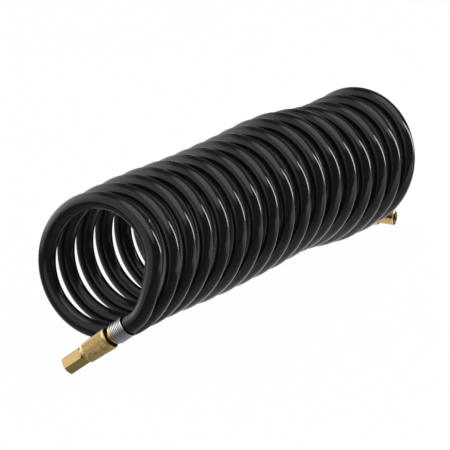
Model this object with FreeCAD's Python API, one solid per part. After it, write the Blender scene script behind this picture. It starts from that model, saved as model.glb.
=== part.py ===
import FreeCAD, Part
import math
import os

V = FreeCAD.Vector
os.makedirs("parts", exist_ok=True)

# All sizes are in millimetres and all angles in degrees.

# Hose tube
TUBE_D = 14.0
BORE_D = 10.0

# Coil: starts low at the near end and climbs at the side that faces minus Y
COIL_RADIUS = 53.2
TURNS = 16.95
START_ANGLE = -58.0
# Coil axis (x, y, height) at equal steps from the near to the far end
COIL_AXIS = [
    (0.0, 0.0, 81.5),
    (70.0, 0.5, 80.8),
    (143.0, 0.4, 76.4),
    (215.0, 2.1, 73.9),
    (286.0, 5.1, 72.0),
    (357.0, 6.2, 61.6),
    (428.0, 7.3, 60.3),
]
# Forward lean and sideways turn of the rings at the same steps, as slopes
RING_LEAN = [0.27, 0.20, 0.13, 0.09, 0.11, 0.16, 0.22]
RING_YAW = [-0.04, 0.03, 0.06, 0.04, -0.02, -0.05, -0.02]

# Closed rings stand for the inner turns, with thin bars between them
CLOSED_RINGS = 15
BAR_D = 6.0
BAR_FIRST_ANGLE = 90.0
BAR_STEP_ANGLE = 50.0
END_RING_OFFSET = 0.6
STUB_D = 13.0
STUB_REACH = 45.0
JOIN_GAP = 0.3

# Open end turns: corners of their route, and the corner next to each fitting
CORNER_STEP = 40.0
NEAR_CORNERS = [213.0, 173.0, 133.0, 93.0, 53.0, 13.0]
FAR_CORNERS = [382.0, 422.0, 462.0, 502.0, 542.0, 582.0]
FAR_WHOLE_TURNS = 15
NEAR_REACH = 16.0
FAR_REACH = 12.0

# Where the spring guards begin on the tube, from an end point of the coil axis: angle round it,
# distance inside the ring of tube centres, and distance along X
NEAR_START_ANGLE = -46.3
NEAR_START_INSET = 2.4
NEAR_START_X = -3.3
FAR_START_ANGLE = -87.4
FAR_START_INSET = 2.0
FAR_START_X = -13.7

# Where the fittings point
NEAR_AIM = V(-0.21, 0.760, -0.615)
FAR_AIM = V(0.187, -0.982, -0.02)

# Spring guard over the tube end
GUARD_WIRE = 1.45
GUARD_PITCH = 1.53
GUARD_TURNS = 9
GUARD_SLACK = 0.9

# Barbed tails inside the tube
BARB_GRIP = 0.2
BARB_COUNT = 4
BARB_PITCH = 3.1
BARB_DEPTH = 0.7
BARB_SLOPE = 0.97
TAIL_BORE_D = 6.0
TAIL_INSIDE = 13.0
FLANGE_D = 15.6
FLANGE_WIDTH = 1.5

# Clearances: on a radius where parts turn or slide, where they are screwed, and between faces
RUNNING = 0.05
SCREWED = 0.05
FACE_PLAY = 0.1

# Shortest straight run of the tube that is made as a piece
SHORTEST_RUN = 0.01

# Plug of the near end
NECK_D = 11.0
NECK_LENGTH = 5.9
PLUG_D = 10.0
PLUG_TO_GROOVE = 8.2
GROOVE_D = 8.4
GROOVE_WIDTH = 2.4
TIP_D = 9.8
TIP_LENGTH = 6.0

# Coupler body
BODY_FRONT_D = 12.6
BODY_REAR_D = 14.6
BODY_REAR_LENGTH = 12.0
SPIGOT_D = 12.0
SPIGOT_LENGTH = 5.8
VALVE_ROOM_D = 10.8
SEAT_D = 8.6
SEAT_BEFORE = 0.6
SEAT_LENGTH = 0.8

# Locking balls
BALL_D = 2.0
BALL_COUNT = 6

# Sleeve: widest at its mouth, which stands out over the plug's neck
SLEEVE_D = 16.6
SLEEVE_WIDE_D = 18.4
SLEEVE_MOUTH_D = 16.2
SLEEVE_OVERHANG = 2.5
SLEEVE_SHORT = 0.2
LAND_LENGTH = 3.1
RIM_ROUND = 0.6

# Stop ring and spring that hold the sleeve back
RING_WIDTH = 1.0
RING_INSET = 1.3
RING_D = 14.2
RING_GROOVE_D = 11.6
SLEEVE_SPRING_WIRE = 0.5
SLEEVE_SPRING_TURNS = 4

# Seals
PROBE_SEAL_SECTION = 1.5
PROBE_SEAL_INSET = 3.0
VALVE_SEAL_SECTION = 0.8
SWIVEL_SEAL_SECTION = 1.0
GASKET_THICKNESS = 0.8

# Valve
POPPET_D = 9.6
POPPET_THICKNESS = 1.6
POPPET_OPEN = 2.2
LEG_D = 1.2
LEG_CIRCLE_D = 6.4
LEG_COUNT = 3
VALVE_STEM_D = 3.0
VALVE_STEM_LENGTH = 3.0
VALVE_SPRING_WIRE = 0.7
VALVE_SPRING_INNER_D = 6.0
VALVE_SPRING_TURNS = 4

# Hexagonal end of the coupler, with its female pipe thread of 1/8 inch
HEX_FLATS = 14.0
HEX_TURN = 4.0
COLLAR_D = 14.4
COLLAR_LENGTH = 1.2
HEX_CHAMFER = 1.4
ADAPTER_LENGTH = 19.8
PORT_D = 8.57
PORT_DEPTH = 10.0
PORT_CHAMFER = 0.6
THROAT_D = 6.0

# Swivel end with its male pipe thread of 1/4 inch
SWIVEL_FLATS = 15.5
SWIVEL_HEX_LENGTH = 6.0
JOURNAL_D = 9.2
JOURNAL_LENGTH = 5.8
CLIP_INSET = 1.4
CLIP_WIDTH = 0.8
CLIP_D = 10.6
CLIP_GROOVE_D = 8.0
SEAL_INSET = 3.6
SWIVEL_NECK_D = 10.0
SWIVEL_NECK_LENGTH = 4.0
THREAD_D = 13.157
THREAD_LENGTH = 10.5
THREAD_CHAMFER = 0.8
SWIVEL_BORE_D = 8.6
SWIVEL_CONE_D = 10.4
SWIVEL_CONE_DEPTH = 1.6

TUBE_R = TUBE_D / 2
BORE_R = BORE_D / 2
parts = {}


def unit(vector):
    """A vector of length one."""
    return vector * (1.0 / vector.Length)


def turned(profile):
    """Solid of revolution about Z from (radius, z) corners."""
    points = [V(r, 0, z) for r, z in profile]
    face = Part.Face(Part.makePolygon(points + points[:1]))
    return face.revolve(V(0, 0, 0), V(0, 0, 1), 360)


def sleeve_of(outer_d, inner_d, z0, z1):
    """Plain tube about Z between two heights."""
    return turned([(inner_d / 2, z0), (outer_d / 2, z0), (outer_d / 2, z1), (inner_d / 2, z1)])


def ring_of(section_d, centre_r, z):
    """Ring of round section about Z."""
    return Part.makeTorus(centre_r, section_d / 2, V(0, 0, z), V(0, 0, 1))


def hexagon(flats, z0, z1):
    """Hexagonal bar about Z, with flats towards plus and minus Y."""
    radius = flats / 2 / math.cos(math.radians(30))
    corners = [V(radius * math.cos(math.radians(60 * k)), radius * math.sin(math.radians(60 * k)), z0)
               for k in range(6)]
    return Part.Face(Part.makePolygon(corners + corners[:1])).extrude(V(0, 0, z1 - z0))


def close_wound(inner_d, wire_d, pitch, turns, z0):
    """Closely wound spring as one solid: round ridges on a thin wall."""
    middle_r = inner_d / 2 + wire_d / 2
    wall = sleeve_of(2 * middle_r + wire_d / 2, inner_d, z0 + wire_d / 2,
                     z0 + wire_d / 2 + pitch * (turns - 1))
    ridges = [ring_of(wire_d, middle_r, z0 + wire_d / 2 + k * pitch) for k in range(turns)]
    return wall.multiFuse(ridges)


def open_spring(inner_d, wire_d, z0, z1, turns):
    """Open compression spring as one solid: round rings joined by three thin bars."""
    middle_r = inner_d / 2 + wire_d / 2
    step = (z1 - z0 - wire_d) / (turns - 1)
    rings = [ring_of(wire_d, middle_r, z0 + wire_d / 2 + k * step) for k in range(turns)]
    bars = []
    for k in range(3):
        bar = Part.makeCylinder(wire_d / 3, step * (turns - 1), V(middle_r, 0, z0 + wire_d / 2))
        bar.rotate(V(0, 0, 0), V(0, 0, 1), 120 * k)
        bars.append(bar)
    return rings[0].multiFuse(rings[1:] + bars)


def grooved(radius, floor_r, z0, z1):
    """Corners of a turned outline that dips to a groove's floor between two heights."""
    return [(radius, z0), (floor_r, z0), (floor_r, z1), (radius, z1)]


def barbed(z0):
    """Corners of a barbed tail, from its inner end at z0 to the flange."""
    crest = BORE_R + BARB_GRIP
    root = crest - BARB_DEPTH
    corners = []
    for k in range(BARB_COUNT):
        foot = z0 + k * BARB_PITCH
        corners += [(root, foot), (crest, foot + BARB_PITCH * BARB_SLOPE)]
    return corners + [(root, z0 + BARB_COUNT * BARB_PITCH), (root, z0 + TAIL_INSIDE)]


def placed(shape, origin, aim):
    """Move a shape built along Z to an origin, pointing along aim, with its flats level."""
    axis_z = unit(aim)
    axis_x = unit(axis_z.cross(V(0, 0, 1)))
    axis_y = axis_z.cross(axis_x)
    matrix = FreeCAD.Matrix(axis_x.x, axis_y.x, axis_z.x, origin.x,
                            axis_x.y, axis_y.y, axis_z.y, origin.y,
                            axis_x.z, axis_y.z, axis_z.z, origin.z, 0, 0, 0, 1)
    moved = shape.copy()
    moved.Placement = FreeCAD.Placement(matrix)
    return moved


# Coil geometry
def along(values, turn):
    """Value at a number of turns from the start, from a list of evenly spaced values."""
    place = turn / TURNS * (len(values) - 1)
    k = min(int(place), len(values) - 2)
    return values[k] + (values[k + 1] - values[k]) * (place - k)


def ring_place(turn):
    """Centre and plane axes (normal, front, up) of the ring at a number of turns from the start."""
    centre = V(*[along([point[k] for point in COIL_AXIS], turn) for k in range(3)])
    normal = unit(V(1, -along(RING_YAW, turn), -along(RING_LEAN, turn)))
    up = unit(V(0, 0, 1) - normal * normal.z)
    return centre, normal, normal.cross(up), up


def on_ring(place, angle, radius):
    """Point in a ring's plane, at an angle that is 0 in front and 90 at the top."""
    turn = math.radians(angle)
    return place[0] + (place[2] * math.cos(turn) + place[3] * math.sin(turn)) * radius


def coil_corner(angle):
    """Corner of a route whose rounded corners follow the coil, at an angle counted on from 0."""
    radius = COIL_RADIUS / math.cos(math.radians(CORNER_STEP / 2))
    return on_ring(ring_place((angle - START_ANGLE) / 360), angle, radius)


def beside_axis(end, angle, inset, x):
    """Point just inside the ring of tube centres, measured from an end point of the coil axis."""
    turn = math.radians(angle)
    reach = COIL_RADIUS - inset
    return V(*end) + V(x, -math.cos(turn) * reach, math.sin(turn) * reach)


def annulus(outer_r, inner_r, point, normal):
    """Flat ring-shaped face."""
    disc = Part.Face(Part.Wire(Part.makeCircle(outer_r, point, normal)))
    return disc.cut(Part.Face(Part.Wire(Part.makeCircle(inner_r, point, normal)))).Faces[0]


def hose_along(name, points):
    """Hollow tube along straight runs between points, with arcs at the corners."""
    runs = [b - a for a, b in zip(points, points[1:])]
    pieces = []
    radii = []
    length = 0
    start = points[0]
    for corner, before, after in zip(points[1:], runs, runs[1:]):
        way = unit(before)
        turn = math.acos(way.dot(unit(after)))
        reach = min((corner - start).Length, after.Length / 2)
        radius = reach / math.tan(turn / 2)
        face = annulus(TUBE_R, BORE_R, corner - way * reach, way)
        straight = (corner - way * reach - start).Length
        if straight > SHORTEST_RUN:
            pieces.append(annulus(TUBE_R, BORE_R, start, way).extrude(way * straight))
        axis = unit(way.cross(unit(after)))
        pivot = corner - way * reach + axis.cross(way) * radius
        pieces.append(face.revolve(pivot, axis, math.degrees(turn)))
        radii.append(round(radius, 1))
        length += straight + radius * turn
        start = corner + unit(after) * reach
    last = points[-1] - start
    pieces.append(annulus(TUBE_R, BORE_R, start, unit(last)).extrude(last))
    length += last.Length
    hose = pieces[0].multiFuse(pieces[1:]).removeSplitter()
    section = math.pi * (TUBE_R ** 2 - BORE_R ** 2)
    print(name, "bend radii", radii, "length", round(length, 1),
          "volume over section times length", round(hose.Volume / (section * length), 4))
    return hose


GUARD_INNER_D = TUBE_D + GUARD_SLACK
GUARD_LENGTH = GUARD_WIRE + GUARD_PITCH * (GUARD_TURNS - 1)

near_start = beside_axis(COIL_AXIS[0], NEAR_START_ANGLE, NEAR_START_INSET, NEAR_START_X)
far_start = beside_axis(COIL_AXIS[-1], FAR_START_ANGLE, FAR_START_INSET, FAR_START_X)
near_corners = [coil_corner(angle) for angle in NEAR_CORNERS]
far_corners = [coil_corner(angle + 360 * FAR_WHOLE_TURNS) for angle in FAR_CORNERS]
near_open = (coil_corner(NEAR_CORNERS[0] + CORNER_STEP) + near_corners[0]) * 0.5
far_open = (coil_corner(FAR_CORNERS[0] - CORNER_STEP + 360 * FAR_WHOLE_TURNS) + far_corners[0]) * 0.5
parts["hose_near_end"] = hose_along(
    "near end", [near_open] + near_corners
    + [near_start - unit(NEAR_AIM) * NEAR_REACH, near_start + unit(NEAR_AIM) * GUARD_LENGTH])
parts["hose_far_end"] = hose_along(
    "far end", [far_open] + far_corners
    + [far_start - unit(FAR_AIM) * FAR_REACH, far_start + unit(FAR_AIM) * GUARD_LENGTH])


def bars(start, end, first_angle):
    """Three thin round bars between the centre lines of two rings."""
    found = []
    for k in range(3):
        foot = on_ring(start, first_angle + 120 * k, COIL_RADIUS)
        reach = on_ring(end, first_angle + 120 * k, COIL_RADIUS) - foot
        found.append(Part.makeCylinder(BAR_D / 2, reach.Length, foot, reach))
    return found


def stub(opening, outwards, gap, target):
    """Round link from just off an open tube end to a point inside a ring."""
    foot = opening + unit(outwards) * gap
    reach = target - foot
    whole = Part.makeCylinder(STUB_D / 2, reach.Length + TUBE_D, foot - unit(reach) * TUBE_D, reach)
    return whole.cut(Part.makeCylinder(TUBE_D, 2 * TUBE_D, foot, outwards * -1))


def coil():
    """The coil's inner turns: hollow round rings joined by thin bars and two stubs."""
    first = (NEAR_CORNERS[0] + CORNER_STEP / 2 - START_ANGLE) / 360 + END_RING_OFFSET
    last = (FAR_CORNERS[0] - CORNER_STEP / 2 - START_ANGLE) / 360 + FAR_WHOLE_TURNS - END_RING_OFFSET
    step = (last - first) / (CLOSED_RINGS - 1)
    places = [ring_place(first + step * k) for k in range(CLOSED_RINGS)]
    pieces = [Part.makeTorus(COIL_RADIUS, TUBE_R, place[0], place[1]) for place in places]
    for k, (start, end) in enumerate(zip(places, places[1:])):
        pieces += bars(start, end, BAR_FIRST_ANGLE + BAR_STEP_ANGLE * k)
    near_target = on_ring(places[0], NEAR_CORNERS[0] + CORNER_STEP / 2 + STUB_REACH, COIL_RADIUS)
    far_target = on_ring(places[-1], FAR_CORNERS[0] - CORNER_STEP / 2 - STUB_REACH, COIL_RADIUS)
    pieces.append(stub(near_open, near_open - near_corners[0], 0, near_target))
    pieces.append(stub(far_open, far_open - far_corners[0], JOIN_GAP, far_target))
    bores = [Part.makeTorus(COIL_RADIUS, BORE_R, place[0], place[1]) for place in places]
    return pieces[0].multiFuse(pieces[1:]).cut(Part.makeCompound(bores))


parts["hose_coil"] = coil()

# Stations along both fittings, from the guard's hose end
tail_end = GUARD_LENGTH - TAIL_INSIDE
flange_end = GUARD_LENGTH + FLANGE_WIDTH
neck_end = flange_end + NECK_LENGTH
groove_start = neck_end + PLUG_TO_GROOVE
groove_end = groove_start + GROOVE_WIDTH
tip_end = groove_end + TIP_LENGTH
body_front = neck_end + FACE_PLAY
ball_z = (groove_start + groove_end) / 2
rear_start = groove_end + FACE_PLAY
rear_end = rear_start + BODY_REAR_LENGTH
spigot_end = rear_end + SPIGOT_LENGTH
seat_start = tip_end + SEAT_BEFORE
seat_end = seat_start + SEAT_LENGTH
poppet_z = seat_end + POPPET_OPEN
stop_ring_z = body_front + RING_INSET
land_end = groove_end
land_start = land_end - LAND_LENGTH
sleeve_start = body_front - SLEEVE_OVERHANG
sleeve_end = rear_end - SLEEVE_SHORT
adapter_end = rear_end + ADAPTER_LENGTH
port_start = adapter_end - PORT_DEPTH
socket_end = spigot_end + GASKET_THICKNESS
land_r = BODY_FRONT_D / 2 + RUNNING
plug_bore_r = PLUG_D / 2 + RUNNING
tip_bore_r = TIP_D / 2 + RUNNING
seal_z = groove_end + PROBE_SEAL_INSET
seal_half = PROBE_SEAL_SECTION / 2 + FACE_PLAY
seal_floor_r = tip_bore_r + PROBE_SEAL_SECTION + RUNNING

guard = close_wound(GUARD_INNER_D, GUARD_WIRE, GUARD_PITCH, GUARD_TURNS, 0)
near = {"near_spring_guard": guard}
far = {"far_spring_guard": guard}

near["near_plug"] = turned(
    [(TAIL_BORE_D / 2, tip_end), (TAIL_BORE_D / 2, tail_end)] + barbed(tail_end)
    + [(FLANGE_D / 2, GUARD_LENGTH), (FLANGE_D / 2, flange_end), (NECK_D / 2, flange_end),
       (NECK_D / 2, neck_end), (PLUG_D / 2, neck_end)]
    + grooved(PLUG_D / 2, GROOVE_D / 2, groove_start, groove_end)[:3]
    + [(TIP_D / 2, groove_end), (TIP_D / 2, tip_end)])

body = turned(
    [(plug_bore_r, body_front), (BODY_FRONT_D / 2, body_front)]
    + grooved(BODY_FRONT_D / 2, RING_GROOVE_D / 2, stop_ring_z, stop_ring_z + RING_WIDTH)
    + [(BODY_FRONT_D / 2, rear_start), (BODY_REAR_D / 2, rear_start), (BODY_REAR_D / 2, rear_end),
       (SPIGOT_D / 2, rear_end), (SPIGOT_D / 2, spigot_end), (VALVE_ROOM_D / 2, spigot_end),
       (VALVE_ROOM_D / 2, seat_end), (SEAT_D / 2, seat_end), (SEAT_D / 2, seat_start),
       (tip_bore_r, seat_start)]
    + grooved(tip_bore_r, seal_floor_r, seal_z + seal_half, seal_z - seal_half)
    + [(tip_bore_r, groove_end), (plug_bore_r, groove_end)])


def around(shape, count):
    """Copies of a shape spread evenly about Z."""
    copies = []
    for k in range(count):
        copy = shape.copy()
        copy.rotate(V(0, 0, 0), V(0, 0, 1), 360 / count * k)
        copies.append(copy)
    return copies


ball_circle_r = land_r - BALL_D / 2 - RUNNING
hole = Part.makeCylinder(BALL_D / 2 + RUNNING, BODY_FRONT_D, V(0, 0, ball_z), V(1, 0, 0))
near["coupler_body"] = body.cut(Part.makeCompound(around(hole, BALL_COUNT)))
ball = Part.makeSphere(BALL_D / 2, V(ball_circle_r, 0, ball_z))
near["locking_balls"] = Part.makeCompound(around(ball, BALL_COUNT))

near["sleeve_stop_ring"] = sleeve_of(RING_D, RING_GROOVE_D + RUNNING, stop_ring_z, stop_ring_z + RING_WIDTH)
near["sleeve_spring"] = open_spring(BODY_FRONT_D + 4 * RUNNING, SLEEVE_SPRING_WIRE,
                                    stop_ring_z + RING_WIDTH, land_start, SLEEVE_SPRING_TURNS)
rim_r = SLEEVE_D / 2 - RIM_ROUND
near["coupler_sleeve"] = turned(
    [(SLEEVE_MOUTH_D / 2, sleeve_start), (SLEEVE_WIDE_D / 2 - RIM_ROUND, sleeve_start),
     (SLEEVE_WIDE_D / 2, sleeve_start + RIM_ROUND),
     (SLEEVE_D / 2, sleeve_end - RIM_ROUND), (rim_r, sleeve_end),
     (BODY_REAR_D / 2 + RUNNING, sleeve_end), (BODY_REAR_D / 2 + RUNNING, land_end),
     (land_r, land_end), (land_r, land_start), (SLEEVE_MOUTH_D / 2, land_start)])

near["probe_seal"] = ring_of(PROBE_SEAL_SECTION, tip_bore_r + PROBE_SEAL_SECTION / 2, seal_z)
near["body_gasket"] = sleeve_of(SPIGOT_D, VALVE_ROOM_D, spigot_end, socket_end)

leg = Part.makeCylinder(LEG_D / 2, poppet_z - tip_end - FACE_PLAY,
                        V(LEG_CIRCLE_D / 2, 0, tip_end + FACE_PLAY))
disc = turned([(0, poppet_z), (POPPET_D / 2, poppet_z), (POPPET_D / 2, poppet_z + POPPET_THICKNESS),
               (VALVE_STEM_D / 2, poppet_z + POPPET_THICKNESS),
               (VALVE_STEM_D / 2, poppet_z + POPPET_THICKNESS + VALVE_STEM_LENGTH),
               (0, poppet_z + POPPET_THICKNESS + VALVE_STEM_LENGTH)])
near["valve_poppet"] = disc.multiFuse(around(leg, LEG_COUNT)).removeSplitter()
near["valve_seal"] = ring_of(VALVE_SEAL_SECTION, (POPPET_D - VALVE_SEAL_SECTION) / 2,
                             poppet_z - VALVE_SEAL_SECTION / 2)
near["valve_spring"] = open_spring(VALVE_SPRING_INNER_D, VALVE_SPRING_WIRE,
                                   poppet_z + POPPET_THICKNESS, socket_end, VALVE_SPRING_TURNS)

hex_start = rear_end + COLLAR_LENGTH
hex_r = HEX_FLATS / 2 / math.cos(math.radians(30))
hex_bar = hexagon(HEX_FLATS, hex_start, adapter_end)
hex_bar.rotate(V(0, 0, 0), V(0, 0, 1), HEX_TURN)
chamfered = turned([(0, hex_start), (COLLAR_D / 2, hex_start), (hex_r, hex_start + HEX_CHAMFER),
                    (hex_r, adapter_end - HEX_CHAMFER / 2), (HEX_FLATS / 2, adapter_end), (0, adapter_end)])
collar = Part.makeCylinder(COLLAR_D / 2, COLLAR_LENGTH, V(0, 0, rear_end))
water_way = turned(
    [(0, rear_end), (SPIGOT_D / 2 + SCREWED, rear_end), (SPIGOT_D / 2 + SCREWED, socket_end),
     (THROAT_D / 2, socket_end), (THROAT_D / 2, port_start), (PORT_D / 2, port_start),
     (PORT_D / 2, adapter_end - PORT_CHAMFER), (PORT_D / 2 + PORT_CHAMFER, adapter_end),
     (0, adapter_end)])
near["coupler_hex_adapter"] = hex_bar.common(chamfered).fuse(collar).cut(water_way)

# Far fitting
journal_end = flange_end + JOURNAL_LENGTH
stud_start = flange_end + FACE_PLAY
stud_hex_end = stud_start + SWIVEL_HEX_LENGTH
thread_start = stud_hex_end + SWIVEL_NECK_LENGTH
thread_end = thread_start + THREAD_LENGTH
clip_z = flange_end + CLIP_INSET
swivel_seal_z = flange_end + SEAL_INSET
swivel_seal_half = SWIVEL_SEAL_SECTION / 2 + FACE_PLAY
journal_bore_r = JOURNAL_D / 2 + RUNNING
seal_groove_r = JOURNAL_D / 2 - SWIVEL_SEAL_SECTION

far["far_stem"] = turned(
    [(TAIL_BORE_D / 2, journal_end), (TAIL_BORE_D / 2, tail_end)] + barbed(tail_end)
    + [(FLANGE_D / 2, GUARD_LENGTH), (FLANGE_D / 2, flange_end), (JOURNAL_D / 2, flange_end)]
    + grooved(JOURNAL_D / 2, CLIP_GROOVE_D / 2, clip_z - FACE_PLAY, clip_z + CLIP_WIDTH + FACE_PLAY)
    + grooved(JOURNAL_D / 2, seal_groove_r, swivel_seal_z - swivel_seal_half, swivel_seal_z + swivel_seal_half)
    + [(JOURNAL_D / 2, journal_end)])
far["swivel_clip"] = sleeve_of(CLIP_D, CLIP_GROOVE_D + 2 * RUNNING, clip_z, clip_z + CLIP_WIDTH)
far["swivel_seal"] = ring_of(SWIVEL_SEAL_SECTION, JOURNAL_D / 2 - SWIVEL_SEAL_SECTION / 2, swivel_seal_z)

stud_r = SWIVEL_FLATS / 2 / math.cos(math.radians(30))
stud_hex = hexagon(SWIVEL_FLATS, stud_start, stud_hex_end)
stud_round = turned([(0, stud_start), (SWIVEL_FLATS / 2, stud_start), (stud_r, stud_start + THREAD_CHAMFER),
                     (stud_r, stud_hex_end - THREAD_CHAMFER), (SWIVEL_FLATS / 2, stud_hex_end), (0, stud_hex_end)])
stud_nose = turned([(0, stud_hex_end), (SWIVEL_NECK_D / 2, stud_hex_end), (SWIVEL_NECK_D / 2, thread_start),
                    (THREAD_D / 2 - THREAD_CHAMFER, thread_start), (THREAD_D / 2, thread_start + THREAD_CHAMFER),
                    (THREAD_D / 2, thread_end - THREAD_CHAMFER), (THREAD_D / 2 - THREAD_CHAMFER, thread_end),
                    (0, thread_end)])
stud_way = turned(
    [(0, stud_start), (journal_bore_r, stud_start)]
    + grooved(journal_bore_r, CLIP_D / 2 + FACE_PLAY, clip_z - FACE_PLAY, clip_z + CLIP_WIDTH + FACE_PLAY)
    + [(journal_bore_r, journal_end + FACE_PLAY), (SWIVEL_BORE_D / 2, journal_end + FACE_PLAY),
       (SWIVEL_BORE_D / 2, thread_end - SWIVEL_CONE_DEPTH), (SWIVEL_CONE_D / 2, thread_end), (0, thread_end)])
far["far_swivel_stud"] = stud_hex.common(stud_round).fuse(stud_nose).cut(stud_way)

for name, shape in near.items():
    parts[name] = placed(shape, near_start, NEAR_AIM)
for name, shape in far.items():
    parts[name] = placed(shape, far_start, FAR_AIM)

# The origin is the floor point under the middle of the part
whole = Part.makeCompound(list(parts.values())).optimalBoundingBox()
floor_point = V(whole.Center.x, whole.Center.y, whole.ZMin)
for name, shape in parts.items():
    shape = shape.copy()
    shape.translate(floor_point * -1)
    shape.exportStep("parts/" + name + ".step")
    box = shape.optimalBoundingBox()
    print(name, "valid", shape.isValid(), "solids", len(shape.Solids), "volume", round(shape.Volume, 1),
          "from", [round(v, 2) for v in (box.XMin, box.YMin, box.ZMin)],
          "to", [round(v, 2) for v in (box.XMax, box.YMax, box.ZMax)])
print("near fitting starts", near_start - floor_point, "aims", unit(NEAR_AIM), "ends at", adapter_end)
print("far fitting starts", far_start - floor_point, "aims", unit(FAR_AIM), "ends at", thread_end)
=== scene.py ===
import logging
import math
from contextlib import contextmanager
from dataclasses import dataclass, field
from enum import Enum
from typing import Iterator, Sequence

import bmesh
import bpy
from mathutils import Matrix, Vector


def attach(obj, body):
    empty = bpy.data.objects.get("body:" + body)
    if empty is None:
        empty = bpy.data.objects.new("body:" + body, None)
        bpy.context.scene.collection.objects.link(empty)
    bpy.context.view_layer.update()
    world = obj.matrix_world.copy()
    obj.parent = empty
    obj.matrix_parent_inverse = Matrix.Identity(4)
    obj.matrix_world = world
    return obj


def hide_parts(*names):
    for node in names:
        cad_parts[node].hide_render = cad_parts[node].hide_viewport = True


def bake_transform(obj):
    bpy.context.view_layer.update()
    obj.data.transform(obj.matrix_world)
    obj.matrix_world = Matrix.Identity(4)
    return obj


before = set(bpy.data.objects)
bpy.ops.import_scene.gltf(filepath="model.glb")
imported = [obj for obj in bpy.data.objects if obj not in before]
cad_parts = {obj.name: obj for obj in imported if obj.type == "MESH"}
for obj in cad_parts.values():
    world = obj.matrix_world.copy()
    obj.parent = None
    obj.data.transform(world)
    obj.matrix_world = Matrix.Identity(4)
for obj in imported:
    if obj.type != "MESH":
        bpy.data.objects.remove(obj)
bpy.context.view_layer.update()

logging.basicConfig(level=logging.INFO, format="%(name)s: %(message)s")
LOG = logging.getLogger("hose")

MM = 0.001
CENTRE = 1e-5  # the radius that stands for the axis in a turned outline
HAIR = 0.01 * MM  # how far a tool passes the face that it cuts
SAME = 1e-5  # lengths that differ by less count as the same
Point = tuple[float, float, float]
Colour = tuple[float, float, float]
Range = tuple[float, float]
Outline = Sequence[Range]


class End(Enum):
    """The two ends of the hose."""

    NEAR = "near_end"
    FAR = "far_end"


class Reach(Enum):
    """Which side of a plane a cut keeps."""

    ABOVE = "above"
    BELOW = "below"


class Join(Enum):
    """What a tool does to a piece."""

    ADD = "UNION"
    CUT = "DIFFERENCE"
    TRIM = "INTERSECT"


def stand(place: Vector, x: Vector, y: Vector, z: Vector) -> Matrix:
    """The frame that stands at a place with these three axes."""
    return Matrix.Translation(place) @ Matrix((x, y, z)).transposed().to_4x4()


# Shader maths
class Signal:
    """A shader socket that can be used in Python arithmetic."""

    def __init__(self, desk: "NodeDesk", socket: bpy.types.NodeSocket) -> None:
        """Wraps a socket.

        Args:
            desk: The node desk that adds the maths nodes.
            socket: The output socket to wrap.
        """
        self.desk = desk
        self.socket = socket

    def _maths(self, operation: str, *values: "Signal | float") -> "Signal":
        """One Math node.

        Args:
            operation: The node's operation.
            values: Its inputs in order.

        Returns:
            The node's result.
        """
        return self.desk.node("ShaderNodeMath", {"operation": operation}, dict(enumerate(values)))

    def __add__(self, other: "Signal | float") -> "Signal":
        """Sum."""
        return self._maths("ADD", self, other)

    def __radd__(self, other: float) -> "Signal":
        """Sum with a number first."""
        return self._maths("ADD", other, self)

    def __sub__(self, other: "Signal | float") -> "Signal":
        """Difference."""
        return self._maths("SUBTRACT", self, other)

    def __rsub__(self, other: float) -> "Signal":
        """Difference from a number."""
        return self._maths("SUBTRACT", other, self)

    def __mul__(self, other: "Signal | float") -> "Signal":
        """Product."""
        return self._maths("MULTIPLY", self, other)

    def __rmul__(self, other: float) -> "Signal":
        """Product with a number first."""
        return self._maths("MULTIPLY", other, self)

    def __truediv__(self, other: "Signal | float") -> "Signal":
        """Quotient."""
        return self._maths("DIVIDE", self, other)

    def above(self, low: float, high: float) -> "Signal":
        """A ramp from 0 at low to 1 at high.

        Args:
            low: The value that gives 0.
            high: The value that gives 1.

        Returns:
            The ramp, held between 0 and 1.
        """
        return self.desk.node("ShaderNodeClamp", {}, {0: (self - low) / (high - low)})


class NodeDesk:
    """Builds one material's or world's node tree."""

    def __init__(self, tree: bpy.types.NodeTree) -> None:
        """Starts with an empty tree.

        Args:
            tree: The tree to fill.
        """
        self.tree = tree
        tree.nodes.clear()

    def node(self, kind: str, settings: dict | None = None,
             inputs: dict | None = None, output: int | str = 0) -> Signal:
        """Adds any node.

        Args:
            kind: The node's type.
            settings: Properties that are set first, such as a Math node's operation.
            inputs: Input name or number to a value or a Signal.
            output: The output to return.

        Returns:
            The chosen output as a Signal, which is empty for a node that has none.
        """
        made = self.tree.nodes.new(kind)
        for name, value in (settings or {}).items():
            setattr(made, name, value)
        for name, value in (inputs or {}).items():
            if isinstance(value, Signal):
                self.tree.links.new(value.socket, made.inputs[name])
            else:
                made.inputs[name].default_value = value
        return Signal(self, made.outputs[output] if len(made.outputs) else None)

    def noise(self, where: Signal, scale: float, detail: float, **more: float) -> Signal:
        """Noise over the coordinates, with any more of the node's inputs by name."""
        inputs = {"Vector": where, "Scale": scale, "Detail": detail, **more}
        return self.node("ShaderNodeTexNoise", {}, inputs)

    def bump(self, height: Signal, strength: float, distance: float) -> Signal:
        """A surface direction that follows a height."""
        return self.node("ShaderNodeBump", {}, {"Height": height, "Strength": strength, "Distance": distance})

    def part(self, vector: Signal, axis: str) -> Signal:
        """One of a vector's numbers: X, Y or Z."""
        return self.node("ShaderNodeSeparateXYZ", {}, {0: vector}, axis)

    def mix(self, share: "Signal | float", first: "Signal | Colour", second: "Signal | Colour") -> Signal:
        """Mixes two colours.

        Args:
            share: How much of the second colour.
            first: The colour at 0.
            second: The colour at 1.

        Returns:
            The mixed colour.
        """
        ends = [end if isinstance(end, Signal) else (*end, 1.0) for end in (first, second)]
        return self.node("ShaderNodeMix", {"data_type": "RGBA"}, {0: share, 6: ends[0], 7: ends[1]}, 2)


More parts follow.
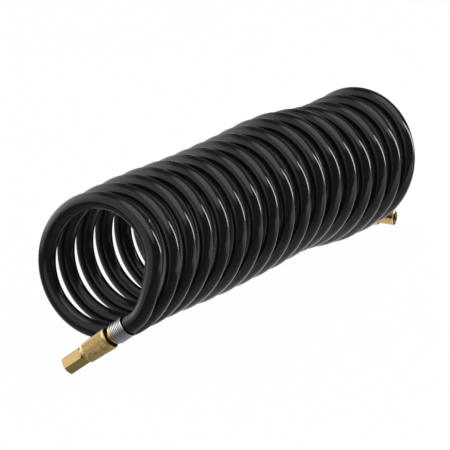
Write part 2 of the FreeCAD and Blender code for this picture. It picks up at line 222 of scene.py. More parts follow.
# Finishes
@dataclass(frozen=True)
class Finish:
    """What all finishes share: a base material with a colour and a gloss."""

    name: str
    colour: Colour
    roughness: float
    metallic: float = 0.0

    def material(self, place: Matrix | None = None) -> bpy.types.Material:
        """Makes the material.

        Args:
            place: The frame that the pattern follows, or None for the whole object's frame.

        Returns:
            The material.
        """
        made = bpy.data.materials.new(self.name)
        made.use_nodes = True
        desk = NodeDesk(made.node_tree)
        shader = desk.node("ShaderNodeBsdfPrincipled", {}, {
            "Base Color": (*self.colour, 1.0), "Metallic": self.metallic, "Roughness": self.roughness,
            **self.constants()})
        for name, signal in self.detail(desk, self.coordinates(desk, place)).items():
            desk.tree.links.new(signal.socket, shader.socket.node.inputs[name])
        desk.node("ShaderNodeOutputMaterial", {}, {"Surface": shader})
        return made

    def coordinates(self, desk: NodeDesk, place: Matrix | None) -> Signal:
        """Object coordinates, turned into a fitting's own frame.

        Args:
            desk: The node desk.
            place: The fitting's frame or None.

        Returns:
            The coordinates.
        """
        raw = desk.node("ShaderNodeTexCoord", {}, {}, "Object")
        if place is None:
            return raw
        return desk.node("ShaderNodeMapping", {"vector_type": "TEXTURE"}, {
            "Vector": raw, "Location": place.to_translation(), "Rotation": place.to_euler("XYZ")})

    def detail(self, desk: NodeDesk, where: Signal) -> dict[str, Signal]:
        """What varies over the surface, by shader socket."""
        return {}

    def constants(self) -> dict[str, float]:
        """Shader sockets that are the same all over."""
        return {}


@dataclass(frozen=True)
class BlackTube(Finish):
    """Glossy extruded black tube, with faint lines along it and a little dust."""

    name: str = "black_tube"
    colour: Colour = (0.0058, 0.0062, 0.0078)
    dust: Colour = (0.06, 0.06, 0.06)
    roughness: float = 0.09

    def detail(self, desk: NodeDesk, where: Signal) -> dict[str, Signal]:
        """Lines along the tube, gloss that comes and goes, and specks.

        Args:
            desk: The node desk.
            where: Object coordinates.

        Returns:
            The signals by socket.
        """
        along = desk.node("ShaderNodeUVMap", {"uv_map": "around_and_along"})
        stretched = desk.node("ShaderNodeMapping", {}, {"Vector": along, "Scale": (46.0, 1.2, 1.0)})
        lines = desk.noise(stretched, 1.0, 3.0, Roughness=0.6)
        patches = desk.noise(where, 38.0, 4.0)
        dusty = desk.noise(where, 1400.0, 1.0).above(0.70, 0.78) * patches.above(0.45, 0.65)
        return {"Base Color": desk.mix(dusty * 0.35, self.colour, self.dust),
                "Roughness": self.roughness + (patches - 0.5) * 0.05 + dusty * 0.25,
                "Normal": desk.bump(lines * 0.8 + patches * 0.2, 0.04, 0.0002)}

    def constants(self) -> dict[str, float]:
        """A plastic's gloss."""
        return {"IOR": 1.5}


@dataclass(frozen=True)
class Brass(Finish):
    """Machined brass: tool marks round the axis, stains, painted shade in the recesses and clean worn edges.
    """

    name: str = "machined_brass"
    colour: Colour = (0.76, 0.55, 0.22)
    stain: Colour = (0.30, 0.19, 0.08)
    # Colour of the painted shade in the recesses
    recess_shade_colour: Colour = (0.10, 0.05, 0.03)
    roughness: float = 0.27
    metallic: float = 1.0
    marks: float = 0.25
    grain: float = 0.0
    # How much painted shade darkens the recesses
    recess_shade: float = 0.0

    def detail(self, desk: NodeDesk, where: Signal) -> dict[str, Signal]:
        """Tool marks, stains, painted shade in the recesses and grain.

        Args:
            desk: The node desk.
            where: The fitting's own coordinates.

        Returns:
            The signals by socket.
        """
        rings = desk.node("ShaderNodeMapping", {}, {"Vector": where, "Scale": (30.0, 30.0, 5200.0)})
        marks = desk.noise(rings, 1.0, 2.0)
        clouds = desk.noise(where, 260.0, 5.0)
        fine = desk.noise(where, 2600.0, 2.0)
        edge = desk.node("ShaderNodeNewGeometry", {}, {}, "Pointiness")
        worn = edge.above(0.52, 0.60)
        # Painted shade: the colour darkens where the surface is hollow, such as the knurl's valleys
        recess_mask = 1 - edge.above(0.40, 0.52)
        clean = desk.mix(clouds.above(0.50, 0.72) * 0.55 * (1 - worn), self.colour, self.stain)
        return {"Base Color": desk.mix(recess_mask * self.recess_shade, clean, self.recess_shade_colour),
                "Roughness": self.roughness + (clouds - 0.5) * 0.22 + fine * self.grain * 0.2 - worn * 0.06,
                "Normal": desk.bump(marks * self.marks + fine * self.grain, 0.30, 0.00006)}


@dataclass(frozen=True)
class InnerShadeBrass(Brass):
    """Brass inside the openings, darkened with painted shade and never polished."""

    name: str = "inner_shade_brass"
    colour: Colour = (0.20, 0.12, 0.055)
    stain: Colour = (0.10, 0.055, 0.03)
    roughness: float = 0.48


@dataclass(frozen=True)
class BrightWire(Finish):
    """Drawn and zinc-plated spring wire, with painted shade between its turns where they lie close."""

    name: str = "zinc_wire"
    colour: Colour = (0.93, 0.94, 0.96)
    dull: Colour = (0.42, 0.43, 0.45)
    shade: Colour = (0.05, 0.05, 0.055)
    roughness: float = 0.17
    metallic: float = 1.0
    # Radii where the painted shade between the turns fades in, or None for no painted shade
    painted_shade_band: Range | None = None

    def detail(self, desk: NodeDesk, where: Signal) -> dict[str, Signal]:
        """Spangle, a few dull patches and painted shade in the grooves between the turns.

        Args:
            desk: The node desk.
            where: The fitting's own coordinates.

        Returns:
            The signals by socket.
        """
        spangle = desk.noise(where, 900.0, 3.0)
        dull = desk.noise(where, 210.0, 3.0).above(0.48, 0.72)
        colour = desk.mix(dull * 0.5, self.colour, self.dull)
        # Painted shade: the wire's colour goes dark towards the axis, between the close turns
        if self.painted_shade_band:
            level = {0: where, 1: (1.0, 1.0, 0.0)}
            across = desk.node("ShaderNodeVectorMath", {"operation": "MULTIPLY"}, level)
            radius = desk.node("ShaderNodeVectorMath", {"operation": "LENGTH"}, {0: across}, "Value")
            colour = desk.mix(1 - radius.above(*self.painted_shade_band), colour, self.shade)
        return {"Base Color": colour,
                "Roughness": self.roughness + dull * 0.14 + (spangle - 0.5) * 0.12,
                "Normal": desk.bump(spangle, 0.05, 0.00004)}


@dataclass(frozen=True)
class SteelWire(BrightWire):
    """The same wire for the springs inside, which lie open."""

    name: str = "steel_wire"


@dataclass(frozen=True)
class PolishedSteel(BrightWire):
    """Hard and polished steel of the balls and rings."""

    name: str = "polished_steel"
    roughness: float = 0.12


@dataclass(frozen=True)
class SealRubber(Finish):
    """Dull black seal rubber with fine grain."""

    name: str = "seal_rubber"
    colour: Colour = (0.016, 0.016, 0.017)
    bloom: Colour = (0.05, 0.05, 0.05)
    roughness: float = 0.62

    def detail(self, desk: NodeDesk, where: Signal) -> dict[str, Signal]:
        """Fine grain and a bloom.

        Args:
            desk: The node desk.
            where: The fitting's own coordinates.

        Returns:
            The signals by socket.
        """
        grain = desk.noise(where, 3200.0, 2.0)
        bloomed = desk.noise(where, 300.0, 3.0).above(0.5, 0.8) * 0.5
        return {"Base Color": desk.mix(bloomed, self.colour, self.bloom),
                "Roughness": self.roughness + (grain - 0.5) * 0.2,
                "Normal": desk.bump(grain, 0.2, 0.00004)}


# Modelling
@dataclass(frozen=True)
class Thread:
    """A screw thread about Z: its sizes in metres, and how finely it is made."""

    root: float
    crest: float
    pitch: float
    flanks: tuple[float, float, float, float]  # where each flank starts and ends, as shares of the pitch
    start: float
    turns: int
    steps: int


class Bench:
    """Edit-mode modelling of one new piece in a fitting's own frame, in metres."""

    spring_steps: int = 40

    @staticmethod
    def linked(name: str, data: bpy.types.ID) -> bpy.types.Object:
        """Puts new data into the scene as an object.

        Args:
            name: The object's name.
            data: A mesh, curve, camera or light.

        Returns:
            The object.
        """
        made = bpy.data.objects.new(name, data)
        bpy.context.collection.objects.link(made)
        return made

    @staticmethod
    def clear() -> None:
        """Leaves edit mode and deselects everything."""
        if bpy.context.object and bpy.context.object.mode != "OBJECT":
            bpy.ops.object.mode_set(mode="OBJECT")
        bpy.ops.object.select_all(action="DESELECT")

    @classmethod
    def take(cls, piece: bpy.types.Object) -> None:
        """Makes one piece the only selected and the active one.

        Args:
            piece: The piece.
        """
        cls.clear()
        piece.select_set(True)
        bpy.context.view_layer.objects.active = piece

    @classmethod
    @contextmanager
    def editing(cls, piece: bpy.types.Object, kind: str = "VERT") -> Iterator[None]:
        """Edit mode on one piece, which starts with all of it selected.

        Args:
            piece: The piece.
            kind: What gets selected: VERT, EDGE or FACE.
        """
        cls.take(piece)
        bpy.ops.object.mode_set(mode="EDIT")
        bpy.ops.mesh.select_mode(type=kind)
        bpy.ops.mesh.select_all(action="SELECT")
        yield
        bpy.ops.object.mode_set(mode="OBJECT")

    @classmethod
    def added(cls, name: str) -> bpy.types.Object:
        """Names the primitive that was just added and puts its place into its mesh.

        Args:
            name: The piece's name.

        Returns:
            The piece.
        """
        piece = bpy.context.object
        piece.name = piece.data.name = name
        bpy.ops.object.transform_apply(location=True, rotation=True, scale=True)
        return piece

    @classmethod
    def turned(cls, name: str, outline: Outline, sides: int) -> bpy.types.Object:
        """Turns a closed outline about Z, by extruding and scaling a ring along it.

        Args:
            name: The piece's name.
            outline: Corners as radius and height, in metres; the last joins the first.
            sides: How many sides the rings have.

        Returns:
            The piece.
        """
        cls.clear()
        radius, height = outline[0]
        bpy.ops.mesh.primitive_circle_add(vertices=sides, radius=radius, location=(0, 0, height))
        piece = cls.added(name)
        with cls.editing(piece, "EDGE"):
            for next_radius, next_height in [*outline[1:], outline[0]]:
                bpy.ops.mesh.extrude_edges_move(
                    TRANSFORM_OT_translate={"value": (0, 0, next_height - height)})
                scale = next_radius / radius
                bpy.ops.transform.resize(value=(scale, scale, 1), center_override=(0, 0, next_height))
                radius, height = next_radius, next_height
        cls.outward(piece)
        return piece

    @classmethod
    def solid(cls, name: str, outline: Outline, sides: int) -> bpy.types.Object:
        """Turns an open outline whose two ends are joined to the axis."""
        return cls.turned(name, [(CENTRE, outline[0][1]), *outline, (CENTRE, outline[-1][1])], sides)

    @classmethod
    def nut(cls, name: str, flats: float, heights: Range, lower: Range, upper: Range,
            turn: float = 0.0) -> bpy.types.Object:
        """Hexagonal bar with flats towards plus and minus Y, turned down to a chamfer at its ends.

        Args:
            name: The piece's name.
            flats: Width across flats.
            heights: Heights of the lower and the upper face.
            lower: Radius of the lower face inside its chamfer, and the chamfer's height.
            upper: The same at the upper face.
            turn: Turn about Z in radians.

        Returns:
            The piece.
        """
        bottom, top = heights
        corner = flats / 2 / math.cos(math.pi / 6)
        cls.clear()
        bpy.ops.mesh.primitive_cylinder_add(
            vertices=6, radius=corner, depth=top - bottom, location=(0, 0, (top + bottom) / 2),
            rotation=(0, 0, math.pi / 6 + turn))
        piece = cls.added(name)
        with cls.editing(piece):
            bpy.ops.mesh.subdivide(number_cuts=2)
        cls.combine(piece, cls.solid("chamfer", [
            (lower[0], bottom - HAIR), (corner + HAIR, bottom + lower[1]),
            (corner + HAIR, top - upper[1]), (upper[0], top + HAIR)], sides=144), Join.TRIM)
        return piece

    @classmethod
    def screwed(cls, name: str, thread: Thread) -> bpy.types.Object:
        """Winds an open profile into a thread, and closes it flat at both ends.

        Args:
            name: The piece's name.
            thread: The thread's sizes.

        Returns:
            The closed piece.
        """
        root, crest, pitch, start = thread.root, thread.crest, thread.pitch, thread.start
        rise, rose, fall, fell = thread.flanks
        profile = [(root, 0), (root, pitch * rise), (crest, pitch * rose), (crest, pitch * fall),
                   (root, pitch * fell), (root, pitch)]
        cls.clear()
        bpy.ops.mesh.primitive_plane_add(size=pitch / 10, location=(root, 0, start - pitch))
        piece = cls.added(name)
        with cls.editing(piece):
            bpy.ops.mesh.merge(type="CENTER")
            for (r0, z0), (r1, z1) in zip(profile, profile[1:]):
                bpy.ops.mesh.extrude_vertices_move(TRANSFORM_OT_translate={"value": (r1 - r0, 0, z1 - z0)})
        cls.modify(piece, "SCREW", angle=2 * math.pi, screw_offset=pitch, iterations=thread.turns + 2,
                   steps=thread.steps, render_steps=thread.steps, use_merge_vertices=True,
                   merge_threshold=1e-6)
        cls.cut(piece, start, Reach.ABOVE)
        cls.cut(piece, start + thread.turns * pitch, Reach.BELOW)
        cls.outward(piece)
        return piece

    @classmethod
    def cut(cls, piece: bpy.types.Object, height: float, keep: Reach) -> None:
        """Cuts a piece level and closes the cut.

        Args:
            piece: The piece.
            height: Where it is cut.
            keep: The side that stays.
        """
        with cls.editing(piece):
            bpy.ops.mesh.bisect(plane_co=(0, 0, height), plane_no=(0, 0, 1), use_fill=True,
                                clear_inner=keep is Reach.ABOVE, clear_outer=keep is Reach.BELOW,
                                threshold=1e-8)

    @classmethod
    def spring(cls, name: str, coil_radius: float, wire: float, bottom: float, top: float,
               turns: int, sides: int) -> bpy.types.Object:
        """Winds a round wire into a smooth spring about Z.

        Args:
            name: The piece's name.
            coil_radius: Radius of the wire's centre line.
            wire: Wire diameter.
            bottom: Lowest point of the spring.
            top: Highest point of the spring.
            turns: Whole turns.
            sides: Sides of the wire's section.

        Returns:
            The piece.
        """
        cls.clear()
        bpy.ops.mesh.primitive_circle_add(
            vertices=sides, radius=wire / 2, location=(coil_radius, 0, bottom + wire / 2),
            rotation=(math.pi / 2, 0, 0))
        piece = cls.added(name)
        pitch = (top - bottom - wire) / turns
        cls.modify(piece, "SCREW", angle=2 * math.pi, screw_offset=pitch, iterations=turns,
                   steps=cls.spring_steps, render_steps=cls.spring_steps)
        with cls.editing(piece, "EDGE"):
            bpy.ops.mesh.select_all(action="DESELECT")
            bpy.ops.mesh.select_non_manifold()
            bpy.ops.mesh.edge_face_add()
        cls.outward(piece)
        cls.smooth(piece, angle=60)
        return piece

    @classmethod
    def modify(cls, piece: bpy.types.Object, kind: str, **settings: object) -> None:
        """Adds a modifier and applies it.

        Args:
            piece: The piece.
            kind: The modifier's type.
            settings: Its properties.
        """
        cls.take(piece)
        modifier = piece.modifiers.new(kind.lower(), kind)
        for name, value in settings.items():
            setattr(modifier, name, value)
        bpy.ops.object.modifier_apply(modifier=modifier.name)

    @classmethod
    def combine(cls, piece: bpy.types.Object, tool: bpy.types.Object, how: Join) -> None:
        """Joins, cuts or trims a piece with a tool that is then thrown away.

        Args:
            piece: The piece that stays.
            tool: The other body.
            how: What it does.
        """
        cls.modify(piece, "BOOLEAN", operation=how.value, object=tool, solver="EXACT")
        bpy.data.objects.remove(tool)

    @classmethod
    def outward(cls, piece: bpy.types.Object) -> None:
        """Merges doubles and turns all faces outwards.

        Args:
            piece: The piece.
        """
        with cls.editing(piece):
            bpy.ops.mesh.remove_doubles(threshold=1e-7)
            bpy.ops.mesh.normals_make_consistent(inside=False)

    @classmethod
    def soften(cls, piece: bpy.types.Object, width: float) -> None:
        """Rounds the sharp edges by a width."""
        cls.modify(piece, "BEVEL", width=width, segments=2, limit_method="ANGLE",
                   angle_limit=math.radians(28))

    @classmethod
    def smooth(cls, piece: bpy.types.Object, angle: float = 32.0) -> None:
        """Smooth shading, with sharp edges kept.

        Args:
            piece: The piece.
            angle: Edges sharper than this stay sharp, in degrees.
        """
        cls.take(piece)
        bpy.ops.object.shade_smooth_by_angle(angle=math.radians(angle))


@dataclass
class Fitting:
    """Base of the two end fittings: its own frame, its spring guard and how a piece is put in place."""

    start: Point
    aim: Point
    pieces: list[bpy.types.Object] = field(default_factory=list)
    guard_length: float = 13.69 * MM
    guard_inner: float = 7.45 * MM
    guard_wire: float = 1.45 * MM
    guard_turns: int = 8
    painted_shade_band: Range = (0.70, 0.95)  # where the painted shade between the turns fades, across the wire
    inward: float = 0.3  # how much a face has to look towards the axis to get the inner finish, which is darkened with painted shade

    def place(self) -> Matrix:
        """The fitting's frame: Z along its axis, X level.

        Returns:
            The matrix from the fitting's frame to the part's.
        """
        axis_z = Vector(self.aim).normalized()
        axis_x = axis_z.cross(Vector((0, 0, 1))).normalized()
        return stand(Vector(self.start), axis_x, axis_z.cross(axis_x), axis_z)

    def put(self, piece: bpy.types.Object, body: str, nodes: Sequence[str], slot: str, finish: Finish,
            inner: Finish | None = None, squeeze: tuple[str, float, float] | None = None) -> None:
        """Puts a finished piece in place of its CAD nodes and dresses it.

        Args:
            piece: The piece, still in the fitting's frame.
            body: The body that it moves with.
            nodes: The CAD nodes that it stands for.
            slot: Not used.
            finish: Its finish.
            inner: The finish of the faces that look towards the axis, if it differs; here a darker brass,
                painted shade inside the openings.
            squeeze: The body that pushes the piece's other end, and the heights of both ends; when it is
                given, the piece is left unattached to any body.
        """
        piece.data.materials.clear()
        piece.data.materials.append(finish.material(self.place()))
        if inner:
            piece.data.materials.append(inner.material(self.place()))
            for face in piece.data.polygons:
                across = Vector((face.center.x, face.center.y, 0))
                inwards = across.length > 0 and face.normal.dot(across.normalized()) < -self.inward
                face.material_index = int(inwards)
        piece.data.transform(self.place())
        if squeeze:
            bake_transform(piece)
        else:
            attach(piece, body)
        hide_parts(*nodes)
        self.pieces.append(piece)
        LOG.info("%s: %d faces on %s", piece.name, len(piece.data.polygons), body)

    def dress(self, node: str, finish: Finish) -> None:
        """Gives a CAD node that stays its finish.

        Args:
            node: The node's name.
            finish: Its finish.
        """
        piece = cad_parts[node]
        piece.data.materials.clear()
        piece.data.materials.append(finish.material(self.place()))
        Bench.smooth(piece)
        LOG.info("%s keeps its solid", node)

    def guard(self, name: str, node: str, end: End) -> None:
        """The closely wound spring over the tube's end.

        Args:
            name: The spring's name.
            node: The CAD node that it stands for.
            end: The end of the hose that it is on.
        """
        piece = Bench.spring(name, self.guard_inner + self.guard_wire / 2, self.guard_wire,
                             0.0, self.guard_length, self.guard_turns, sides=12)
        low, high = (self.guard_inner + self.guard_wire * share for share in self.painted_shade_band)
        self.put(piece, end.value, [node], "spring_steel", BrightWire(painted_shade_band=(low, high)))


# The hose
@dataclass
class Hose:
    """The one tube: coil, leads and its finish. Angles are in degrees, 0 in front and 90 at the top."""

    tube_radius: float = 7.0 * MM
    bore_radius: float = 5.0 * MM
    coil_radius: float = 53.2 * MM
    turns: float = 16.95
    start_angle: float = -58.0
    first_angle: float = 13.0
    points_per_turn: int = 16
    sides: int = 32
    # Coil axis (x, y, z) at equal steps from the near to the far end
    axis: tuple[Point, ...] = (
        (-0.2051, -0.0038, 0.0812), (-0.1341, -0.0032, 0.0809), (-0.0614, -0.0033, 0.0765),
        (0.0101, -0.0016, 0.0740), (0.0819, 0.0014, 0.0720), (0.1536, 0.0025, 0.0612),
        (0.2254, 0.0035, 0.0604))
    lean: tuple[float, ...] = (0.246, 0.192, 0.131, 0.096, 0.115, 0.156, 0.205)
    yaw: tuple[float, ...] = (-0.043, 0.024, 0.066, 0.041, -0.024, -0.054, -0.016)
    near_start: Point = (-0.20746, -0.03881, 0.04478)
    near_aim: Point = (-0.21, 0.760, -0.615)
    far_start: Point = (0.21014, 0.00127, 0.00916)
    far_aim: Point = (0.187, -0.982, -0.02)
    near_reach: float = 16.0 * MM
    far_reach: float = 12.0 * MM
    last_angle: float = 222.0 + 360 * 16
    flange_reach: float = 2.0 * MM
    route_steps: int = 6
    still_turns: Range = (0.9, 0.4)
    ease: float = 0.03

    @staticmethod
    def smoothed(values: Sequence, share: float) -> "Vector | float":
        """Smooth curve through evenly spaced values.

        Args:
            values: The values, numbers or points.
            share: Place along them, from 0 to 1.

        Returns:
            The value there.
        """
        items = [Vector(v) if isinstance(v, tuple) else v for v in values]
        items = [items[0] * 2 - items[1], *items, items[-1] * 2 - items[-2]]
        place = min(max(share, 0.0), 0.99999) * (len(values) - 1)
        k = int(place)
        t = place - k
        a, b, c, d = items[k:k + 4]
        return (b * 2 + (c - a) * t + (a * 2 - b * 5 + c * 4 - d) * t ** 2
                + (b * 3 - a - c * 3 + d) * t ** 3) * 0.5

    def on_coil(self, angle: float, radius: float) -> Vector:
        """Point of the coil at an angle counted on from the first turn.

        Args:
            angle: The angle in degrees.
            radius: Distance from the coil's axis.

        Returns:
            The point.
        """
        share = (angle - self.start_angle) / 360 / self.turns
        centre = self.smoothed(self.axis, share)
        yaw, lean = self.smoothed(self.yaw, share), self.smoothed(self.lean, share)
        normal = Vector((1, -yaw, -lean)).normalized()
        up = (Vector((0, 0, 1)) - normal * normal.z).normalized()
        front = normal.cross(up)
        turn = math.radians(angle)
        return centre + (front * math.cos(turn) + up * math.sin(turn)) * radius

    def controls(self) -> list[Vector]:
        """Control points of the tube's smooth route, from the near to the far flange.

        Returns:
            The points.
        """
        step = 360 / self.points_per_turn
        radius = self.coil_radius / math.cos(math.radians(step / 2))
        near, far = Vector(self.near_start), Vector(self.far_start)
        near_aim, far_aim = Vector(self.near_aim).normalized(), Vector(self.far_aim).normalized()
        span = self.last_angle - self.first_angle
        count = round(span / step)
        coil = [self.on_coil(self.first_angle + span * k / count, radius) for k in range(count + 1)]
        return [near + near_aim * Fitting.guard_length, near + near_aim * self.flange_reach,
                near - near_aim * self.near_reach, *coil, far - far_aim * self.far_reach,
                far + far_aim * self.flange_reach, far + far_aim * Fitting.guard_length]

    def route(self) -> list[Vector]:
        """Points read from the route's NURBS spline.

        Returns:
            The points along the centre line.
        """
        controls = self.controls()
        line = bpy.data.curves.new("hose_route", "CURVE")
        line.dimensions = "3D"
        spline = line.splines.new("NURBS")
        spline.points.add(len(controls) - 1)
        for slot, point in zip(spline.points, controls):
            slot.co = (*point, 1.0)
        spline.order_u = 3
        spline.use_endpoint_u = True
        spline.resolution_u = self.route_steps
        carrier = Bench.linked("hose_route", line)
        bpy.context.view_layer.update()
        mesh = bpy.data.meshes.new_from_object(carrier)
        points = [v.co.copy() for v in mesh.vertices]
        bpy.data.objects.remove(carrier)
        return points

    def tube(self, points: Sequence[Vector]) -> tuple[bpy.types.Object, list[float]]:
        """Round tube along a line of points, with its bore showing at both ends.

        Args:
            points: The centre line.

        Returns:
            The tube and the arc length at each of its vertices.
        """
        runs = [0.0]
        for a, b in zip(points, points[1:]):
            runs.append(runs[-1] + (b - a).length)
        mesh = bmesh.new()
        uv = mesh.loops.layers.uv.new("around_and_along")
        sections: list[tuple[list[bmesh.types.BMVert], float]] = []
        way = (points[1] - points[0]).normalized()
        across = way.cross(Vector((0, 0, 1))).normalized()
        stations = [(0, self.bore_radius), *[(k, self.tube_radius) for k in range(len(points))],
                    (len(points) - 1, self.bore_radius)]
        lengths: list[float] = []
        for k, radius in stations:
            before, after = points[max(k - 1, 0)], points[min(k + 1, len(points) - 1)]
            way = (after - before).normalized()
            across = (across - way * across.dot(way)).normalized()
            over = way.cross(across)
            ring = []
            for side in range(self.sides):
                turn = 2 * math.pi * side / self.sides
                out = across * math.cos(turn) + over * math.sin(turn)
                ring.append(mesh.verts.new(points[k] + out * radius))
                lengths.append(runs[k])
            sections.append((ring, runs[k]))
        for (first, s0), (second, s1) in zip(sections, sections[1:]):
            for side in range(self.sides):
                after = (side + 1) % self.sides
                face = mesh.faces.new((first[side], first[after], second[after], second[side]))
                places = ((side, s0), (side + 1, s0), (side + 1, s1), (side, s1))
                for loop, (u, v) in zip(face.loops, places):
                    loop[uv].uv = (u / self.sides, v)
        data = bpy.data.meshes.new("hose_tube")
        mesh.to_mesh(data)
        mesh.free()
        piece = Bench.linked("hose_tube", data)
        Bench.outward(piece)
        Bench.smooth(piece, angle=50)
        return piece, lengths

    def eased(self, share: float) -> float:
        """An even rise from 0 to 1 that starts and ends gently, so that the tube gets no kink.

        Args:
            share: Place between the turns that stand still at the two ends, from 0 to 1.

        Returns:
            The share of the far end's travel.
        """
        ease = self.ease
        if share < ease:
            return share * share / (2 * ease) / (1 - ease)
        if share > 1 - ease:
            return 1 - (1 - share) ** 2 / (2 * ease) / (1 - ease)
        return (share - ease / 2) / (1 - ease)

    def build(self) -> tuple[bpy.types.Object, list[Vector]]:
        """Makes the tube, and works out the shares of an even stretch along its length, which are not used.

        Returns:
            The tube and its centre line.
        """
        points = self.route()
        piece, lengths = self.tube(points)
        piece.data.materials.append(BlackTube().material())
        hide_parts("hose_near_end", "hose_coil", "hose_far_end")
        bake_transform(piece)
        total, turn = lengths[-1], 2 * math.pi * self.coil_radius
        low, high = turn * self.still_turns[0], total - turn * self.still_turns[1]
        shares = [self.eased(min(max((s - low) / (high - low), 0.0), 1.0)) for s in lengths]
        LOG.info("%s: %d faces, %.3f m long", piece.name, len(piece.data.polygons), total)
        return piece, points


@dataclass
class NearFitting(Fitting):
    """Quick coupler on its plug, with the spring guard."""

    sleeve_start: float = 18.69 * MM
    sleeve_end: float = 43.59 * MM
    sleeve_wide: float = 9.2 * MM
    sleeve_radius: float = 8.3 * MM
    rim: float = 0.5 * MM
    mouth_radius: float = 8.1 * MM
    land_start: float = 28.59 * MM
    land_end: float = 31.69 * MM
    land_radius: float = 6.35 * MM
    skirt_radius: float = 7.35 * MM
    knurl_start: float = 20.9 * MM
    knurl_end: float = 42.5 * MM
    knurl_depth: float = 0.28 * MM
    knurls_round: int = 38
    knurl_rows: int = 15
    ring_end: float = 23.49 * MM
    hex_start: float = 44.99 * MM
    hex_end: float = 63.59 * MM
    hex_flats: float = 14.0 * MM
    hex_turn: float = math.radians(4)
    chamfer: float = 1.4 * MM
    collar_radius: float = 7.2 * MM
    body_end: float = 43.79 * MM
    valve_back: float = 42.89 * MM
    socket_radius: float = 6.05 * MM
    socket_end: float = 50.39 * MM
    way_radius: float = 3.0 * MM
    port: Thread = Thread(root=4.285 * MM, crest=4.86 * MM, pitch=0.907 * MM, flanks=(0.15, 0.45, 0.60, 0.90),
                          start=53.59 * MM, turns=12, steps=36)
    # Centre radius and wire of the two springs inside
    return_spring: Range = (6.65 * MM, 0.5 * MM)
    valve_spring: Range = (3.35 * MM, 0.7 * MM)
    spring_turns: int = 4

    def sleeve(self) -> None:
        """The knurled sleeve with its open mouth, rolled rim and inner land."""
        rim, wide = self.rim, self.sleeve_wide
        outline = [
            (self.mouth_radius, self.sleeve_start + rim * 0.5),
            (self.mouth_radius + rim * 0.3, self.sleeve_start),
            (wide - rim * 0.9, self.sleeve_start), (wide - rim * 0.2, self.sleeve_start + rim * 0.4),
            (wide, self.sleeve_start + rim * 1.2),
            (self.outside(self.knurl_start - rim), self.knurl_start - rim),
            (self.valley(self.knurl_start), self.knurl_start), (self.valley(self.knurl_end), self.knurl_end),
            (self.sleeve_radius - rim * 0.3, self.sleeve_end - rim * 0.6),
            (self.sleeve_radius - rim, self.sleeve_end), (self.skirt_radius, self.sleeve_end),
            (self.skirt_radius, self.land_end), (self.land_radius, self.land_end),
            (self.land_radius, self.land_start), (self.mouth_radius, self.land_start)]
        sides = 2 * self.knurls_round
        piece = Bench.turned("coupler_grip_sleeve", outline, sides)
        self.knurl(piece, sides)
        Bench.smooth(piece, angle=24)
        # The sleeve's brass is lighter than the other brass, a painted highlight, and its recesses get
        # painted shade
        self.put(piece, "sleeve", ["coupler_sleeve"], "brass",
                 Brass(colour=(0.93, 0.68, 0.29), grain=0.3, roughness=0.25, recess_shade=0.6), InnerShadeBrass())

    def outside(self, height: float) -> float:
        """Outer radius of the tapered sleeve at a height."""
        share = (height - self.sleeve_start) / (self.sleeve_end - self.sleeve_start)
        return self.sleeve_wide + (self.sleeve_radius - self.sleeve_wide) * share

    def valley(self, height: float) -> float:
        """Radius of the knurl's valleys at a height."""
        return self.outside(height) - self.knurl_depth

    def knurl(self, piece: bpy.types.Object, sides: int) -> None:
        """Raises a diamond knurl on the sleeve's outer band.

        Args:
            piece: The sleeve.
            sides: Sides of the sleeve.
        """
        rows, height = 2 * self.knurl_rows, self.knurl_end - self.knurl_start
        with Bench.editing(piece, "EDGE"):
            mesh = bmesh.from_edit_mesh(piece.data)
            for edge in mesh.edges:
                a, b = edge.verts
                edge.select = abs(abs(a.co.z - b.co.z) - height) < SAME
            mesh.select_flush_mode()
            bpy.ops.mesh.subdivide(number_cuts=rows - 1)
            mesh = bmesh.from_edit_mesh(piece.data)
            bpy.ops.mesh.select_all(action="DESELECT")
            bpy.ops.mesh.select_mode(type="VERT")
            for vert in mesh.verts:
                row = (vert.co.z - self.knurl_start) / height * rows
                column = math.atan2(vert.co.y, vert.co.x) / (2 * math.pi) * sides
                inside = 0.5 < row < rows - 0.5
                outer = abs(math.hypot(vert.co.x, vert.co.y) - self.valley(vert.co.z)) < SAME
                vert.select = inside and outer and (round(row) + round(column)) % 2 == 1
            mesh.select_flush_mode()
            scale = 1 + self.knurl_depth / self.valley(self.knurl_start)
            bpy.ops.transform.resize(value=(scale, scale, 1), center_override=(0, 0, 0))
            bpy.ops.mesh.select_mode(type="FACE")
            for face in mesh.faces:
                middle = face.calc_center_median()
                outer = math.hypot(middle.x, middle.y) > self.valley(middle.z) - self.knurl_depth
                face.select = outer and self.knurl_start < middle.z < self.knurl_end
            bpy.ops.mesh.quads_convert_to_tris(quad_method="SHORTEST_DIAGONAL")

    def adapter(self) -> None:
        """The hexagon with its collar, socket and threaded port."""
        way_end, mouth, lip = self.port.start + 0.1 * MM, self.hex_end - 0.6 * MM, self.hex_end + 0.3 * MM
        piece = Bench.nut("coupler_hexagon", self.hex_flats, (self.hex_start, self.hex_end),
                          (self.collar_radius, self.chamfer), (self.hex_flats / 2, self.chamfer / 2),
                          self.hex_turn)
        Bench.combine(piece, Bench.solid("collar", [
            (self.collar_radius, self.body_end),
            (self.collar_radius, self.hex_start + 0.3 * MM)], sides=96), Join.ADD)
        Bench.combine(piece, Bench.solid("socket", [
            (self.socket_radius, self.body_end - MM), (self.socket_radius, self.socket_end),
            (self.way_radius, self.socket_end), (self.way_radius, way_end)], sides=64), Join.CUT)
        Bench.combine(piece, Bench.screwed("tap", self.port), Join.CUT)
        Bench.combine(piece, Bench.solid("mouth", [
            (self.port.root, mouth), (self.port.crest + 0.7 * MM, lip)], sides=64), Join.CUT)
        Bench.soften(piece, 0.2 * MM)
        Bench.smooth(piece, angle=14)
        # The hexagon's brass is darker than the other brass: painted shade
        self.put(piece, "coupler", ["coupler_hex_adapter"], "brass", Brass(colour=(0.56, 0.41, 0.17)))

